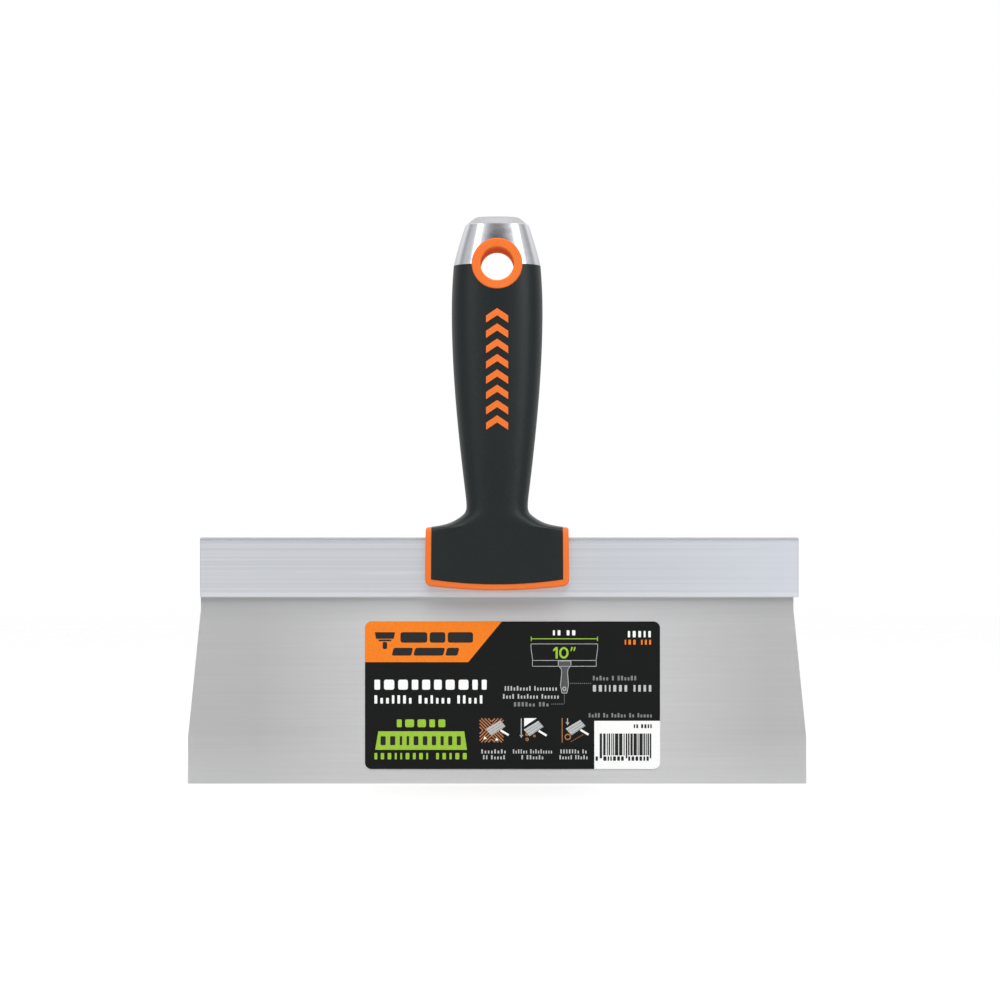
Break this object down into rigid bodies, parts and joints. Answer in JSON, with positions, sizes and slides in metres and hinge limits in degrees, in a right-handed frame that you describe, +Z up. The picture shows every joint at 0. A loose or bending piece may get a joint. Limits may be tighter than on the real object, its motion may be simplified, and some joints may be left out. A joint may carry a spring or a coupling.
{
  "type": "drywall taping knife",
  "caption": "Wide drywall taping knife: thin steel blade in a metal backbone, two-material soft grip, metal hammer cap and a hang hole.",
  "frame": {"origin": "middle of the working edge, in the blade's mid plane; this is the middle of the bottom of the bounding box", "axes": "+Z up along the handle, from the working edge to the hammer cap; +X along the working edge; -Y the labelled front"},
  "size_m": [0.254, 0.0276, 0.2324],
  "materials": {
    "blade_steel": "fine brushed stainless",
    "backbone_aluminium": "satin anodised extrusion",
    "tang_steel": "plain rolled",
    "rivet_steel": "zinc plated",
    "orange_plastic": "satin moulded",
    "cap_metal": "satin nickel plate",
    "soft_black_rubber": "fine matt texture",
    "label_film": "printed film"
  },
  "bodies": {
    "root": {"blade": "blade_steel", "backbone": "backbone_aluminium", "tang": "tang_steel", "tang_rivets": "rivet_steel", "hang_hole_eyelet_front": "orange_plastic", "hang_hole_eyelet_rear": "orange_plastic", "hammer_cap": "cap_metal", "handle_core": "orange_plastic", "soft_grip": "soft_black_rubber", "label": "label_film"}
  },
  "joints": []
}
